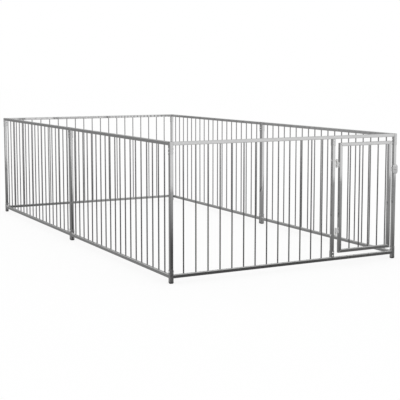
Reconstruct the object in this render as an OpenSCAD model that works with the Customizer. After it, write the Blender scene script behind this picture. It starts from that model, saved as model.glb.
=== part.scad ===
// Outdoor dog kennel run: six barred panels of galvanised square tube on seven posts,
// with a hung door at the right of the front and a turning latch on the corner post.
// Origin: on the ground under the middle of the run. +Y runs from the door to the back.

/* [Run] */
// Outer width over the corner posts
run_w = 2000; // [1700:50:2600]
// Outer length over the corner posts
run_l = 4000; // [3000:50:5000]
// Height from the ground to the top of the rails
run_h = 1000; // [900:10:1500]
// Height of the bottom rail's underside above the ground
rail_under = 36; // [30:1:80]

/* [Square tube] */
// Outer size of the square tube of posts, rails and door
tube = 25; // [22:1:30]
// Wall of the square tube
tube_wall = 1.2; // [1:0.1:2]
// Outer corner radius of the square tube
tube_round = 2.5; // [2.2:0.1:4]

/* [Bars] */
// Diameter of the upright bars
bar_d = 10; // [8:0.5:12]
// Wall of the upright bars, which are thin round tube
bar_wall = 1; // [0.8:0.1:1.5]
// Equal spaces between the posts of one panel
bar_spaces = 20; // [18:1:22]
// Radial clearance of a bar in its punched hole
bar_fit = 0.2; // [0.1:0.05:0.4]
// End play of a bar under the top rail's upper wall
bar_play = 2; // [1:0.5:4]

/* [Connectors] */
// Wall of the connector sleeves
sleeve_wall = 2; // [1.5:0.1:3]
// Clearance between a tube and the sleeve or stub that holds it, on each side
sleeve_fit = 0.1; // [0.05:0.05:0.3]
// Length of the sleeve at the top of a post
top_sleeve_len = 90; // [85:1:120]
// Thickness of the cap that closes a top sleeve
sleeve_cap = 2; // [1.5:0.5:4]
// How far the bottom sleeve stands above the bottom rail
bottom_sleeve_rise = 36; // [32:1:60]
// Length of the stub that a rail slides onto
stub_len = 40; // [25:1:55]
// Depth of the sockets at both ends of the hinge post
socket_len = 51; // [48:1:70]
// Thickness of the socket's base on the rail
socket_base = 3; // [2:0.5:5]

/* [Connector bolts] */
// Diameter of the connector bolts
bolt_d = 6; // [5:0.5:8]
// Radial clearance of a bolt in its hole
bolt_fit = 0.2; // [0.1:0.05:0.4]
// Diameter of the round bolt head
bolt_head_d = 12; // [10:0.5:14]
// Height of the round bolt head
bolt_head_h = 3.5; // [2.5:0.5:5]
// Width of the connector nuts across flats
nut_flats = 10; // [9.5:0.5:13]
// Height of the connector nuts
nut_h = 5; // [4:0.5:8]
// Length of bolt that shows past the nut
bolt_end = 3; // [1:0.5:6]
// Depth of the upper bolt below the top of the post
top_bolt_drop = 50; // [40:1:55]
// Distance between the two bolts of a sleeve or socket
bolt_step = 25; // [18:1:28]
// Height of the single bottom bolt above the bottom rail
bottom_bolt_rise = 22; // [14:1:26]
// Distance of the first socket bolt from the rail
socket_bolt_rise = 14; // [12:1:18]

/* [Feet] */
// Height of a foot cap under the ends of post and sleeve
foot_base = 10; // [6:0.5:14]
// Thickness of the rim that the sleeve stands on
foot_rim_h = 3; // [2:0.5:4]
// How far the rim of a foot cap stands out past the sleeve
foot_rim = 0.9; // [0.5:0.1:2]
// Length of the hollow plug that a foot cap has inside the post
foot_plug = 20; // [15:1:28]
// Wall of the hollow plug
foot_wall = 2; // [1.5:0.1:3]

/* [Door] */
// Bar place, counted from the left corner, that the hinge post takes
hinge_place = 14; // [13:1:15]
// Gap between the hinge post and the door
hinge_gap = 44; // [40:1:54]
// Gap between the door and the latch post
latch_gap = 23.5; // [22:0.5:28]
// Gap above the door
door_top_gap = 32; // [20:1:60]
// Gap below the door
door_bottom_gap = 30; // [20:1:60]
// Distance from the hinge stile's middle to the first door bar
door_bar_start = 95; // [70:1:105]
// Distance between door bars
door_bar_pitch = 89.5; // [70:0.5:105]
// Least distance from the last door bar to the latch stile's middle
door_bar_spare = 50; // [35:1:90]

/* [Hinges] */
// Depth of the upper eye bolt below the top of the run
upper_eye_drop = 190; // [150:1:300]
// Height of the lower eye bolt above the ground
lower_eye_rise = 232; // [180:1:350]
// Diameter of the hinge pins
pin_d = 8; // [6:0.5:10]
// Radial running clearance of a hinge pin
pin_fit = 0.05; // [0.02:0.01:0.1]
// Wall of the hinge barrels and eyes around the pin
barrel_wall = 4; // [3:0.5:5]
// Length of a hinge barrel on the door
barrel_len = 38; // [25:1:60]
// Thickness of the eye of an eye bolt
eye_h = 12; // [12:1:24]
// Diameter of the eye bolts' shanks
eye_shank_d = 8; // [6:0.5:10]
// Height of the plastic bush between eye and barrel
bush_h = 9; // [3:0.5:12]
// Gap between a moving face and the fixed face beside it
run_gap = 0.3; // [0.2:0.1:0.6]
// Thickness of the hinge leaf on the stile
leaf_t = 3; // [2:0.5:4]
// Width of the hinge leaf on the stile
leaf_w = 20; // [14:1:21]
// Thickness of the web from barrel to leaf
web_t = 6; // [4:0.5:8]
// Height of the hinge pin's head
pin_head_h = 4; // [2:0.5:6]
// How far the head of a hinge pin stands out around the pin
pin_head_rim = 2.5; // [1.5:0.5:3.5]
// Length of pin that shows past the barrel
pin_end = 3; // [1:0.5:6]

/* [Latch] */
// Height of the latch pivot above the ground
latch_z = 718; // [500:1:800]
// Width of the turning plate
plate_w = 48; // [44:1:50]
// Length of the turning plate
plate_len = 80; // [76:1:96]
// Thickness of the turning plate
plate_t = 4; // [3:0.5:6]
// Height of the raised middle of the turning plate
plate_boss_h = 2; // [1:0.5:4]
// Width of the plate's flat margin around its raised middle
plate_margin = 9; // [5:1:14]
// Diameter of the latch pivot bolt
pivot_d = 8; // [6:0.5:10]
// Diameter of the pivot bolt's round head
pivot_head_d = 16; // [14:0.5:20]
// Height of the pivot bolt's round head
pivot_head_h = 5; // [3:0.5:7]
// Wall of the spacer between plate and post
spacer_wall = 4; // [2:0.5:6]
// Clearance between the catch and the turning plate, also the spacer's length
catch_clear = 1.5; // [1:0.5:3]
// Height of the catch and of the stop behind the door
catch_h = 28; // [20:1:40]
// Thickness of the catch's bent strip
catch_t = 3; // [2:0.5:4]
// Length of the catch's weld on the side of the stile
catch_weld = 18; // [12:1:22]
// Thickness of the stop behind the door
stop_t = 4; // [3:0.5:6]
// How far the stop reaches behind the latch stile
stop_reach = 14; // [8:1:20]
// Gap between the closed door and its stop
stop_gap = 0.5; // [0.3:0.1:1]

/* [Large nuts] */
// Width of the hinge and latch nuts across flats
big_nut_flats = 13; // [12:0.5:17]
// Height of the hinge and latch nuts
big_nut_h = 6.5; // [5:0.5:8]

/* [Hidden] */
$fn = 48;
galvanised = "silver";
zinc = "lightgray";
plastic = [0.12, 0.12, 0.13];
nylon = "ivory";

// How far a cut runs past the face that it opens
over = 1;

// Post middles and tube heights
post_x = run_w / 2 - tube / 2;
post_y = run_l / 2 - tube / 2;
top_rail_z = run_h - tube / 2;
bottom_rail_z = rail_under + tube / 2;
rail_top = rail_under + tube;
top_rail_under = run_h - tube;

// Sleeves around a tube, and stubs inside one; no corner is sharper than least_round
least_round = 0.5;
sleeve_in = tube + 2 * sleeve_fit;
sleeve_out = sleeve_in + 2 * sleeve_wall;
sleeve_round = tube_round + sleeve_fit + sleeve_wall;
tube_in = tube - 2 * tube_wall;
tube_in_round = max(tube_round - tube_wall, least_round);
stub_out = tube_in - 2 * sleeve_fit;
stub_round = max(tube_in_round - sleeve_fit, least_round);
bottom_sleeve_top = rail_top + bottom_sleeve_rise;

// Bars
bar_hole_d = bar_d + 2 * bar_fit;
bar_low = rail_under + tube_wall;
bar_high = run_h - tube_wall - bar_play;

// Panels: name, start post, turn about Z, length between post middles, number of bars
PANELS = [
    ["front", [-post_x, -post_y], 0, 2 * post_x, hinge_place - 1],
    ["back", [-post_x, post_y], 0, 2 * post_x, bar_spaces - 1],
    ["left_front", [-post_x, -post_y], 90, post_y, bar_spaces - 1],
    ["left_back", [-post_x, 0], 90, post_y, bar_spaces - 1],
    ["right_front", [post_x, -post_y], 90, post_y, bar_spaces - 1],
    ["right_back", [post_x, 0], 90, post_y, bar_spaces - 1],
];
function panel_pitch(panel) = panel[3] / bar_spaces;

// Posts: name, side along X, end along Y
POSTS = [
    ["front_left", -1, -1],
    ["front_right", 1, -1],
    ["back_left", -1, 1],
    ["back_right", 1, 1],
    ["left_middle", -1, 0],
    ["right_middle", 1, 0],
];
function post_at(post) = [post[1] * post_x, post[2] * post_y, 0];
top_bolts = [run_h - top_bolt_drop, run_h - top_bolt_drop - bolt_step];
bottom_bolts = [rail_top + bottom_bolt_rise];
post_bolts = concat(top_bolts, bottom_bolts);
socket_bolts = [socket_bolt_rise, socket_bolt_rise + bolt_step];

// Hinge post, door and hinge axis
front_y = -post_y;
hinge_post_x = -post_x + hinge_place * panel_pitch(PANELS[0]);
hinge_post_low = rail_top + socket_base;
hinge_post_high = top_rail_under - socket_base;
hinge_x = hinge_post_x + tube / 2 + hinge_gap / 2;
door_left = hinge_post_x + tube / 2 + hinge_gap;
door_right = post_x - tube / 2 - latch_gap;
door_low = rail_top + door_bottom_gap;
door_high = top_rail_under - door_top_gap;
stile_span = door_right - door_left - tube;
door_bar_count = 1 + floor((stile_span - door_bar_start - door_bar_spare) / door_bar_pitch);
door_bars_x = [for (i = [0 : door_bar_count - 1]) door_left + tube / 2 + door_bar_start + i * door_bar_pitch];
door_bar_low = door_low + tube_wall;
door_bar_high = door_high - tube_wall - bar_play;

// Hinge stacks: eye bolt height and the way that barrel lies from it
HINGES = [
    ["upper", run_h - upper_eye_drop, -1],
    ["lower", lower_eye_rise, 1],
];
barrel_d = pin_d + 2 * barrel_wall;
pin_bore_d = pin_d + 2 * pin_fit;
barrel_start = eye_h / 2 + bush_h + run_gap;
barrel_end = barrel_start + barrel_len;
leaf_x = door_left - leaf_t;
eye_hole_d = eye_shank_d + 2 * bolt_fit;
eye_shank_end = hinge_post_x - tube / 2 - big_nut_h - bolt_end;

// Latch stack, from the post's front face forward
post_front_y = front_y - tube / 2;
post_back_y = front_y + tube / 2;
plate_back_y = post_front_y - catch_clear;
plate_front_y = plate_back_y - plate_t;
boss_front_y = plate_front_y - plate_boss_h;
pivot_hole_d = pivot_d + 2 * bolt_fit;
pivot_bore_d = pivot_d + 2 * pin_fit;
stop_back_y = post_back_y + stop_t;
pivot_end_y = stop_back_y + big_nut_h + bolt_end;
catch_right = post_x - plate_w / 2 - catch_clear;

// Profiles and plain parts

module round_square(size, r) {
    flat = size - 2 * r;
    square([flat, size], center = true);
    square([size, flat], center = true);
    for (x = [-1, 1], y = [-1, 1])
        translate([x, y] * flat / 2)
            circle(r);
}

module square_tube(len, outer, outer_round, wall) {
    linear_extrude(len)
        difference() {
            round_square(outer, outer_round);
            round_square(outer - 2 * wall, max(outer_round - wall, least_round));
        }
}

module frame_tube(len) {
    square_tube(len, tube, tube_round, tube_wall);
}

module round_bar(low, high) {
    translate([0, 0, low])
        difference() {
            cylinder(h = high - low, d = bar_d);
            translate([0, 0, -over])
                cylinder(h = high - low + 2 * over, d = bar_d - 2 * bar_wall);
        }
}

// A hole or shank along X or Y, centred on the origin
module along_x(d, len) {
    rotate([0, 90, 0])
        cylinder(h = len, d = d, center = true);
}

module along_y(d, len) {
    rotate([90, 0, 0])
        cylinder(h = len, d = d, center = true);
}

// Round-headed bolt: its head sits on the plane z = 0 and its shank points down
module round_bolt(d, len, head_d, head_h) {
    dome_r = (head_d * head_d / 4 + head_h * head_h) / (2 * head_h);
    translate([0, 0, -len])
        cylinder(h = len, d = d);
    intersection() {
        cylinder(h = head_h, d = head_d);
        translate([0, 0, head_h - dome_r])
            sphere(dome_r, $fn = 96);
    }
}

// Nut that sits on the plane z = 0
module hex_nut(flats, h, bolt) {
    difference() {
        cylinder(h = h, d = flats / cos(30), $fn = 6);
        translate([0, 0, -over])
            cylinder(h = h + 2 * over, d = bolt + 2 * bolt_fit);
    }
}

// Posts, rails and bars

module at_panel(panel) {
    translate(panel[1])
        rotate([0, 0, panel[2]])
            children();
}

module post(post) {
    color(galvanised)
        translate(post_at(post))
            difference() {
                translate([0, 0, foot_base])
                    frame_tube(run_h - sleeve_cap - foot_base);
                for (z = post_bolts)
                    translate([0, 0, z])
                        along_x(bolt_d + 2 * bolt_fit, 2 * tube);
                if (post[0] == "front_right")
                    translate([0, 0, latch_z])
                        along_y(pivot_hole_d, 2 * tube);
            }
}

module hinge_post() {
    color(galvanised)
        translate([hinge_post_x, front_y, 0])
            difference() {
                translate([0, 0, hinge_post_low])
                    frame_tube(hinge_post_high - hinge_post_low);
                for (b = socket_bolts, z = [rail_top + b, top_rail_under - b])
                    translate([0, 0, z])
                        along_y(bolt_d + 2 * bolt_fit, 2 * tube);
                for (h = HINGES)
                    translate([0, 0, h[1]])
                        along_x(eye_hole_d, 2 * tube);
            }
}

// Rail between two sleeves; its holes are punched in the wall that faces the bars
module rail(panel, z, hole_side) {
    color(galvanised)
        at_panel(panel)
            difference() {
                translate([sleeve_out / 2, 0, z])
                    rotate([0, 90, 0])
                        frame_tube(panel[3] - sleeve_out);
                for (k = [1 : panel[4]])
                    translate([k * panel_pitch(panel), 0, z + hole_side * tube / 2])
                        cylinder(h = 4 * tube_wall, d = bar_hole_d, center = true);
            }
}

module bars(panel) {
    color(galvanised)
        at_panel(panel)
            for (k = [1 : panel[4]])
                translate([k * panel_pitch(panel), 0, 0])
                    round_bar(bar_low, bar_high);
}

// Connectors

// Directions in which a post's connector holds rails, as turns about Z
function stub_turns(post) = post[2] == 0 ? [90, -90] : [post[1] > 0 ? 180 : 0, post[2] > 0 ? -90 : 90];

// Stubs start inside the sleeve's wall and run into the rail
module stubs(post, z) {
    for (turn = stub_turns(post))
        translate([0, 0, z])
            rotate([0, 0, turn])
                translate([sleeve_in / 2, 0, 0])
                    rotate([0, 90, 0])
                        square_tube(stub_len + sleeve_wall, stub_out, stub_round, sleeve_wall);
}

module sleeve(low, high, cap) {
    difference() {
        translate([0, 0, low])
            linear_extrude(high - low)
                round_square(sleeve_out, sleeve_round);
        translate([0, 0, low - over])
            linear_extrude(high - low + over + (cap > 0 ? -cap : over))
                round_square(sleeve_in, sleeve_round - sleeve_wall);
    }
}

module bolted(bolts) {
    difference() {
        children();
        for (z = bolts)
            translate([0, 0, z])
                along_x(bolt_d + 2 * bolt_fit, 2 * tube);
    }
}

module top_connector(post) {
    color(galvanised)
        translate(post_at(post))
            bolted(top_bolts) {
                union() {
                    sleeve(run_h - top_sleeve_len, run_h, sleeve_cap);
                    stubs(post, top_rail_z);
                }
            }
}

module bottom_connector(post) {
    color(galvanised)
        translate(post_at(post))
            bolted(bottom_bolts) {
                union() {
                    sleeve(foot_base, bottom_sleeve_top, 0);
                    stubs(post, bottom_rail_z);
                }
            }
}

// Socket on a rail for one end of the hinge post, open upward
module post_socket() {
    difference() {
        linear_extrude(socket_len)
            round_square(sleeve_out, sleeve_round);
        translate([0, 0, socket_base])
            linear_extrude(socket_len)
                round_square(sleeve_in, sleeve_round - sleeve_wall);
        for (z = socket_bolts)
            translate([0, 0, z])
                along_y(bolt_d + 2 * bolt_fit, 2 * tube);
    }
}

module hinge_post_bottom_socket() {
    color(galvanised)
        translate([hinge_post_x, front_y, rail_top])
            post_socket();
}

module hinge_post_top_socket() {
    color(galvanised)
        translate([hinge_post_x, front_y, top_rail_under])
            mirror([0, 0, 1])
                post_socket();
}

// Moves a fastener's seat plane to every place where a connector bolt goes through;
// side 1 is the outer face, where the head sits, and side -1 the face with the nut
module at_connector_bolts(side) {
    for (p = POSTS, z = post_bolts)
        translate(post_at(p) + [side * p[1] * sleeve_out / 2, 0, z])
            rotate([0, side * p[1] * 90, 0])
                children();
    for (b = socket_bolts, z = [rail_top + b, top_rail_under - b])
        translate([hinge_post_x, front_y - side * sleeve_out / 2, z])
            rotate([side * 90, 0, 0])
                children();
}

module connector_bolts() {
    color(zinc)
        at_connector_bolts(1)
            round_bolt(bolt_d, sleeve_out + nut_h + bolt_end, bolt_head_d, bolt_head_h);
}

module connector_nuts() {
    color(zinc)
        at_connector_bolts(-1)
            hex_nut(nut_flats, nut_h, bolt_d);
}

// Cap under a post: drawn-in sole, rim under the sleeve, and a plug inside the post
module foot_caps() {
    color(plastic)
        for (p = POSTS)
            translate(post_at(p)) {
                linear_extrude(foot_base)
                    round_square(tube, tube_round);
                translate([0, 0, foot_base - foot_rim_h])
                    linear_extrude(foot_rim_h)
                        round_square(sleeve_out + 2 * foot_rim, sleeve_round + foot_rim);
                translate([0, 0, foot_base])
                    square_tube(foot_plug, stub_out, stub_round, foot_wall);
            }
}

// Hinges

// Puts a hinge stack on the axis, with the eye at z = 0 and the barrel above it
module at_hinge(hinge) {
    translate([hinge_x, front_y, hinge[1]])
        mirror([0, 0, hinge[2] < 0 ? 1 : 0])
            children();
}

module hinge_eye(hinge) {
    shank_len = hinge_x - eye_shank_end;
    color(zinc)
        at_hinge(hinge)
            difference() {
                union() {
                    cylinder(h = eye_h, d = barrel_d, center = true);
                    translate([-shank_len / 2, 0, 0])
                        along_x(eye_shank_d, shank_len);
                }
                cylinder(h = 2 * eye_h, d = pin_bore_d, center = true);
            }
}

module hinge_pins() {
    color(zinc)
        for (h = HINGES)
            at_hinge(h) {
                translate([0, 0, -eye_h / 2])
                    cylinder(h = eye_h / 2 + barrel_end + pin_end, d = pin_d);
                translate([0, 0, -eye_h / 2 - pin_head_h])
                    cylinder(h = pin_head_h, d = pin_d + 2 * pin_head_rim);
            }
}

module hinge_bushes() {
    color(nylon)
        for (h = HINGES)
            at_hinge(h)
                translate([0, 0, eye_h / 2])
                    difference() {
                        cylinder(h = bush_h, d = barrel_d);
                        translate([0, 0, -over])
                            cylinder(h = bush_h + 2 * over, d = pin_bore_d);
                    }
}

module hinge_barrel(hinge) {
    color(zinc)
        at_hinge(hinge)
            translate([0, 0, barrel_start])
                difference() {
                    union() {
                        cylinder(h = barrel_len, d = barrel_d);
                        translate([0, -web_t / 2, 0])
                            cube([leaf_x - hinge_x, web_t, barrel_len]);
                        translate([leaf_x - hinge_x, -leaf_w / 2, 0])
                            cube([leaf_t, leaf_w, barrel_len]);
                    }
                    translate([0, 0, -over])
                        cylinder(h = barrel_len + 2 * over, d = pin_bore_d);
                }
}

// Door

// Keeps the part of a door tube between its mitre cuts; the outline lies in the XZ plane
module mitred(outline) {
    intersection() {
        children();
        translate([0, front_y + tube, 0])
            rotate([90, 0, 0])
                linear_extrude(2 * tube)
                    polygon(outline);
    }
}

// Stile with its outer edge at x; turn is 1 where the door lies to its right
module stile(x, turn) {
    color(galvanised)
        mitred([
            [x, door_low],
            [x, door_high],
            [x + turn * tube, door_high - tube],
            [x + turn * tube, door_low + tube],
        ])
            translate([x + turn * tube / 2, front_y, door_low])
                frame_tube(door_high - door_low);
}

// Door rail with its outer edge at z; turn is 1 where the door lies above it
module door_rail(z, turn) {
    color(galvanised)
        difference() {
            mitred([
                [door_left, z],
                [door_right, z],
                [door_right - tube, z + turn * tube],
                [door_left + tube, z + turn * tube],
            ])
                translate([door_left, front_y, z + turn * tube / 2])
                    rotate([0, 90, 0])
                        frame_tube(door_right - door_left);
            for (x = door_bars_x)
                translate([x, front_y, z + turn * tube])
                    cylinder(h = 4 * tube_wall, d = bar_hole_d, center = true);
        }
}

module door_bars() {
    color(galvanised)
        for (x = door_bars_x)
            translate([x, front_y, 0])
                round_bar(door_bar_low, door_bar_high);
}

// Bent strip on the latch stile: its lip lies behind the turned plate
module door_catch() {
    color(zinc)
        translate([door_right, post_front_y, latch_z - catch_h / 2]) {
            cube([catch_t, catch_weld, catch_h]);
            cube([catch_right - door_right, catch_t, catch_h]);
        }
}

// Strip under the latch bolt's nut that the closed door comes to rest against
module door_stop() {
    color(zinc)
        difference() {
            translate([0, post_back_y, latch_z - catch_h / 2]) {
                translate([post_x - tube / 2, 0, 0])
                    cube([tube, stop_t, catch_h]);
                translate([door_right - stop_reach, stop_gap, 0])
                    cube([latch_gap + stop_reach + catch_t, stop_t - stop_gap, catch_h]);
            }
            translate([post_x, post_back_y, latch_z])
                along_y(pivot_hole_d, 4 * stop_t);
        }
}

// Latch

module plate_outline(w, len) {
    square([w, len - w], center = true);
    for (end = [-1, 1])
        translate([0, end * (len - w) / 2])
            circle(w / 2);
}

// Seat plane at y, with +Z of the part pointing to the front
module at_latch(y) {
    translate([post_x, y, latch_z])
        rotate([90, 0, 0])
            children();
}

module latch_plate() {
    color(zinc)
        at_latch(plate_back_y)
            difference() {
                union() {
                    linear_extrude(plate_t)
                        plate_outline(plate_w, plate_len);
                    linear_extrude(plate_t + plate_boss_h)
                        plate_outline(plate_w - 2 * plate_margin, plate_len - 2 * plate_margin);
                }
                translate([0, 0, -over])
                    cylinder(h = plate_t + plate_boss_h + 2 * over, d = pivot_bore_d);
            }
}

module latch_bolt() {
    color(zinc)
        at_latch(boss_front_y - run_gap)
            round_bolt(pivot_d, pivot_end_y - boss_front_y + run_gap, pivot_head_d, pivot_head_h);
}

module latch_spacer() {
    color(zinc)
        at_latch(post_front_y)
            difference() {
                cylinder(h = catch_clear - run_gap, d = pivot_d + 2 * spacer_wall);
                translate([0, 0, -over])
                    cylinder(h = catch_clear + 2 * over, d = pivot_hole_d);
            }
}

// Two nuts on each eye bolt, on both faces of the hinge post, and one on the stop behind the latch post
module hinge_and_latch_nuts() {
    color(zinc) {
        for (h = HINGES, side = [-1, 1])
            translate([hinge_post_x + side * tube / 2, front_y, h[1]])
                rotate([0, side * 90, 0])
                    hex_nut(big_nut_flats, big_nut_h, eye_shank_d);
        translate([post_x, stop_back_y, latch_z])
            rotate([-90, 0, 0])
                hex_nut(big_nut_flats, big_nut_h, pivot_d);
    }
}

for (p = POSTS) {
    post(p);
    top_connector(p);
    bottom_connector(p);
}
for (p = PANELS) {
    rail(p, top_rail_z, -1);
    rail(p, bottom_rail_z, 1);
    bars(p);
}
for (h = HINGES) {
    hinge_eye(h);
    hinge_barrel(h);
}
hinge_post();
hinge_post_top_socket();
hinge_post_bottom_socket();
foot_caps();
connector_bolts();
connector_nuts();
hinge_pins();
hinge_bushes();
hinge_and_latch_nuts();
stile(door_left, 1);  // door_hinge_stile
stile(door_right, -1);  // door_latch_stile
door_rail(door_high, -1);  // door_top_rail
door_rail(door_low, 1);  // door_bottom_rail
door_bars();
door_catch();
door_stop();
latch_plate();
latch_bolt();
latch_spacer();
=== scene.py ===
"""Looks of an outdoor dog kennel run: galvanised tube and bars, zinc hardware, plastic feet and bushes."""

import logging
import math
from collections.abc import Callable
from dataclasses import dataclass
from enum import Enum

import bmesh
import bpy
from mathutils import Matrix, Vector


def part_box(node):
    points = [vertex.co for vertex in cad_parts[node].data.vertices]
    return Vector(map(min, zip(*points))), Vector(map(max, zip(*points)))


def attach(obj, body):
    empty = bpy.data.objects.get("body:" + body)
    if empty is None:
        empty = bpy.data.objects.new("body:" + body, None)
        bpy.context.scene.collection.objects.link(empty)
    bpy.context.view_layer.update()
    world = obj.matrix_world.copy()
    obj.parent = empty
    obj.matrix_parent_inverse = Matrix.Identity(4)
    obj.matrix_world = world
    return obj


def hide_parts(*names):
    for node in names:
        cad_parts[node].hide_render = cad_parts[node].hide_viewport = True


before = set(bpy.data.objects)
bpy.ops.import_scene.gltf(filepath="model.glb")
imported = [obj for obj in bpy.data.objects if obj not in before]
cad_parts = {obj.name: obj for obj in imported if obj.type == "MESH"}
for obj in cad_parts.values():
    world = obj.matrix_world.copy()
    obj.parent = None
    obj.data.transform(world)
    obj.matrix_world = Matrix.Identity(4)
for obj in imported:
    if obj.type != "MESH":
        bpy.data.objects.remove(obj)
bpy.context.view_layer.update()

log = logging.getLogger("kennel_run")

MM = 0.001
WHITE = (1.0, 1.0, 1.0, 1.0)
SAME_PLACE = 1e-6
SHARP_EDGE = math.radians(35)
CORNER_POSTS = ("front_left", "front_right", "back_left", "back_right")
MIDDLE_POSTS = ("left_middle", "right_middle")
CONNECTORS = ("top_connector", "bottom_connector")
POST_PARTS = ("post", *CONNECTORS)
PANELS = ("front", "back", "left_front", "left_back", "right_front", "right_back")
# The two middle posts are flat tube, with its wide side along the run.
MIDDLE_DEPTH = 45 * MM
# Depth of a metric thread, as a share of its pitch.
THREAD_DEPTH = 0.54
# A round edge is drawn in two steps, and its middle point lies this share of the radius in from both faces.
ROUND_SHARE = 0.3

Ring = list[Vector]
Profile = list[tuple[float, float]]


class Slot(Enum):
    """Material slots of the run."""

    TUBE = "galvanised_tube"
    BAR = "galvanised_bar"
    CONNECTOR = "galvanised_connector"
    HARDWARE = "zinc_hardware"
    LATCH = "latch_zinc"
    PLASTIC = "black_plastic"
    NYLON = "white_nylon"


class Body(Enum):
    """Bodies that the joints move against each other."""

    RUN = "run_frame"
    DOOR = "door"
    LATCH = "latch"


def linear(hex_colour: str) -> tuple[float, float, float, float]:
    """Turns an sRGB hex colour into a linear one.

    Args:
        hex_colour: Colour such as "#C8C8C8".

    Returns:
        Linear red, green, blue and an alpha of 1.
    """
    parts = [int(hex_colour[i:i + 2], 16) / 255 for i in (1, 3, 5)]
    return (*[p / 12.92 if p <= 0.04045 else ((p + 0.055) / 1.055) ** 2.4 for p in parts], 1.0)


def add_node(tree: bpy.types.NodeTree, kind: str, inputs: dict | None = None, **settings) -> bpy.types.Node:
    """Adds one node with its settings, and fills or links its inputs.

    Args:
        tree: Node tree that takes the node.
        kind: Blender's type name of the node.
        inputs: Input name or index, with a plain value or the output that feeds it.
        **settings: Properties of the node.

    Returns:
        The new node.
    """
    node = tree.nodes.new(kind)
    for name, value in settings.items():
        setattr(node, name, value)
    for key, value in (inputs or {}).items():
        if isinstance(value, bpy.types.NodeSocket):
            tree.links.new(value, node.inputs[key])
        else:
            node.inputs[key].default_value = value
    return node


def blank_material(name: str) -> bpy.types.Material:
    """Makes a material with an empty node tree.

    Args:
        name: Name of the material.

    Returns:
        The material.
    """
    material = bpy.data.materials.new(name)
    material.use_nodes = True
    material.node_tree.nodes.clear()
    return material


@dataclass(frozen=True)
class GalvanisedSteel:
    """Galvanised steel: zinc that froze on the steel in flat crystals, called spangle.

    Each crystal mirrors a little brighter or duller than the next, and the sheet has long soft clouds.
    """

    name: str
    bright: str = "#CCCCCC"
    dull: str = "#C4C4C4"
    roughness: float = 0.04
    roughness_spread: float = 0.02
    spangle_mm: float = 16.0
    cloud_mm: float = 140.0
    cloud_detail: float = 3.0

    def material(self) -> bpy.types.Material:
        """Makes the node material of this finish.

        Returns:
            The material.
        """
        material = blank_material(self.name)
        tree = material.node_tree
        place = add_node(tree, "ShaderNodeTexCoord").outputs["Object"]
        crystals = add_node(tree, "ShaderNodeTexVoronoi",
                            {"Vector": place, "Scale": 1 / (self.spangle_mm * MM)})
        clouds = add_node(tree, "ShaderNodeTexNoise",
                          {"Vector": place, "Scale": 1 / (self.cloud_mm * MM), "Detail": self.cloud_detail})
        face = add_node(tree, "ShaderNodeSeparateColor", {"Color": crystals.outputs["Color"]})
        mixed = add_node(tree, "ShaderNodeMath",
                         {0: face.outputs["Red"], 1: clouds.outputs["Fac"]}, operation="MULTIPLY")
        colour = add_node(tree, "ShaderNodeMix", {"Factor": mixed.outputs[0], "A": linear(self.bright),
                                                  "B": linear(self.dull)}, data_type="RGBA")
        rough = add_node(tree, "ShaderNodeMapRange",
                         {"Value": face.outputs["Green"], "To Min": self.roughness,
                          "To Max": self.roughness + self.roughness_spread})
        shader = add_node(tree, "ShaderNodeBsdfPrincipled",
                          {"Base Color": colour.outputs["Result"], "Metallic": 1.0,
                           "Roughness": rough.outputs["Result"]})
        add_node(tree, "ShaderNodeOutputMaterial", {"Surface": shader.outputs["BSDF"]})
        return material


@dataclass(frozen=True)
class Plastic:
    """Plain plastic, dull or satin, with the fine grain of its mould or of the lathe.

    The grain is drawn coarser than the real one, so that it shows in a close view.
    """

    name: str
    body: str
    roughness: float
    grain_mm: float
    grain_depth_mm: float = 0.3
    grain_strength: float = 0.2
    grain_detail: float = 2.0

    def material(self) -> bpy.types.Material:
        """Makes the node material of this finish.

        Returns:
            The material.
        """
        material = blank_material(self.name)
        tree = material.node_tree
        place = add_node(tree, "ShaderNodeTexCoord").outputs["Object"]
        grain = add_node(tree, "ShaderNodeTexNoise",
                         {"Vector": place, "Scale": 1 / (self.grain_mm * MM), "Detail": self.grain_detail})
        bump = add_node(tree, "ShaderNodeBump",
                        {"Height": grain.outputs["Fac"], "Strength": self.grain_strength,
                         "Distance": self.grain_depth_mm * MM})
        shader = add_node(tree, "ShaderNodeBsdfPrincipled",
                          {"Base Color": linear(self.body), "Roughness": self.roughness,
                           "Normal": bump.outputs["Normal"]})
        add_node(tree, "ShaderNodeOutputMaterial", {"Surface": shader.outputs["BSDF"]})
        return material


@dataclass(frozen=True)
class FinishSet:
    """Materials of the run: one for each slot, and one for the welds."""

    by_slot: dict[Slot, bpy.types.Material]
    weld: bpy.types.Material


@dataclass(frozen=True)
class Solid:
    """One solid of a CAD node, such as one bolt of a set."""

    points: tuple[Vector, ...]

    @property
    def low(self) -> Vector:
        """Lowest corner of its box."""
        return Vector([min(p[i] for p in self.points) for i in range(3)])

    @property
    def high(self) -> Vector:
        """Highest corner of its box."""
        return Vector([max(p[i] for p in self.points) for i in range(3)])

    @property
    def centre(self) -> Vector:
        """Middle of its box."""
        return (self.low + self.high) / 2

    @property
    def size(self) -> Vector:
        """Size of its box."""
        return self.high - self.low

    def reach(self, axis: int, side: int, depth: float) -> float:
        """Finds how far the solid reaches from its middle line close to one end.

        Args:
            axis: Index of the axis that the middle line follows.
            side: 1 for the high end and -1 for the low end.
            depth: Length of the end that counts.

        Returns:
            The largest distance from the middle line.
        """
        middle, end = self.centre, (self.high if side > 0 else self.low)[axis]
        found = 0.0
        for point in self.points:
            if abs(point[axis] - end) <= depth:
                off = point - middle
                off[axis] = 0.0
                found = max(found, off.length)
        return found


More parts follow.
